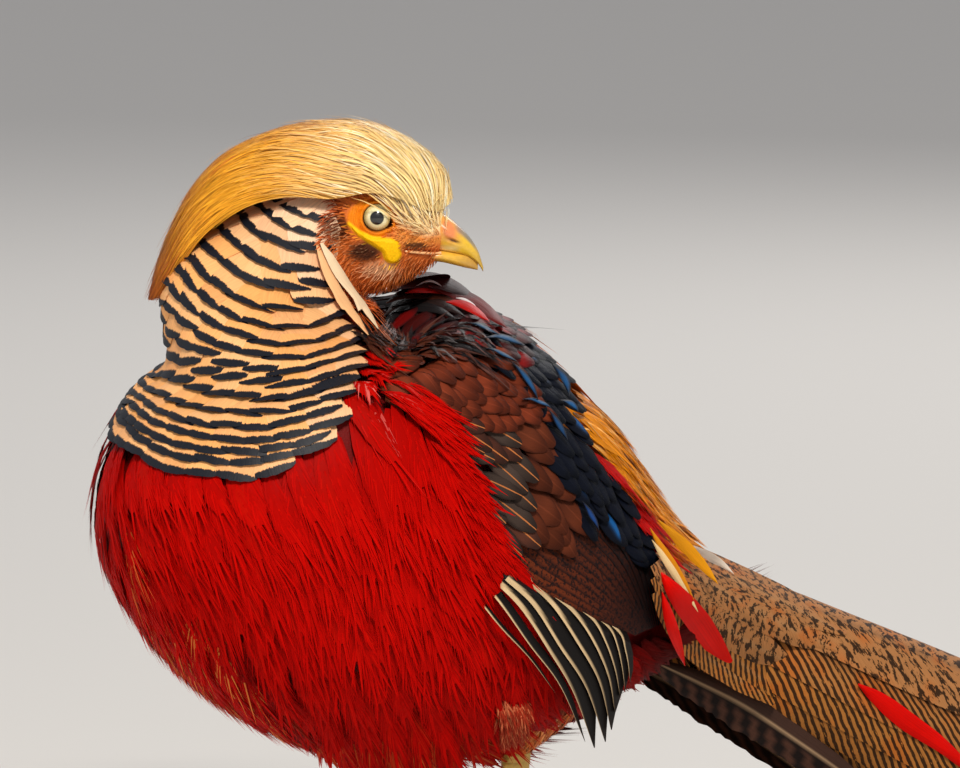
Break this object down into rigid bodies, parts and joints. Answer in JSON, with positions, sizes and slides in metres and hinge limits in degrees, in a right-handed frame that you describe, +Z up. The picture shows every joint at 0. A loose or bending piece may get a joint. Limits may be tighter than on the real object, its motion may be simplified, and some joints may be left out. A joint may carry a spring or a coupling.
{
  "type": "golden pheasant model",
  "caption": "Life-size still model of an adult male golden pheasant, standing and looking back over its left shoulder, with its long tail laid on the floor.",
  "frame": {"origin": "on the floor, under the middle of the whole bird's bounding box", "axes": "+Z up, the body faces -Y with its left side at +X, and the tail runs back along +Y"},
  "size_m": [0.1302, 0.957, 0.264],
  "materials": {
    "red_feathers": "silky scarlet breast and belly feathers",
    "gold_feathers": "glossy, hair-like golden crest feathers",
    "cape_feathers": "light orange cape feathers with blue-black bars",
    "face_skin": "bare orange skin and short rusty feathers",
    "wing_feathers": "chestnut and dark brown feathers with a blue gloss on the inner ones",
    "tail_feathers": "cinnamon feathers with fine black marks",
    "scarlet_feathers": "scarlet lance-shaped feathers",
    "rusty_feathers": "soft rusty feathers",
    "bill_horn": "smooth yellow horn",
    "leg_scales": "yellow-brown scaled skin",
    "claw_horn": "dark horn",
    "eye": "wet, pale yellow iris with a black pupil"
  },
  "bodies": {
    "root": {"bill_lower": "bill_horn", "bill_upper": "bill_horn", "cape": "cape_feathers", "claw_left_hind": "claw_horn", "claw_left_inner": "claw_horn", "claw_left_middle": "claw_horn", "claw_left_outer": "claw_horn", "claw_right_hind": "claw_horn", "claw_right_inner": "claw_horn", "claw_right_middle": "claw_horn", "claw_right_outer": "claw_horn", "crest": "gold_feathers", "eye_left": "eye", "eye_right": "eye", "foot_left": "leg_scales", "foot_right": "leg_scales", "head": "face_skin", "leg_left": "leg_scales", "leg_right": "leg_scales", "neck": "rusty_feathers", "tail_base": "tail_feathers", "tail_coverts": "scarlet_feathers", "tail_end": "tail_feathers", "thigh_left": "rusty_feathers", "thigh_right": "rusty_feathers", "torso": "red_feathers", "wing_left": "wing_feathers", "wing_right": "wing_feathers"}
  },
  "joints": []
}
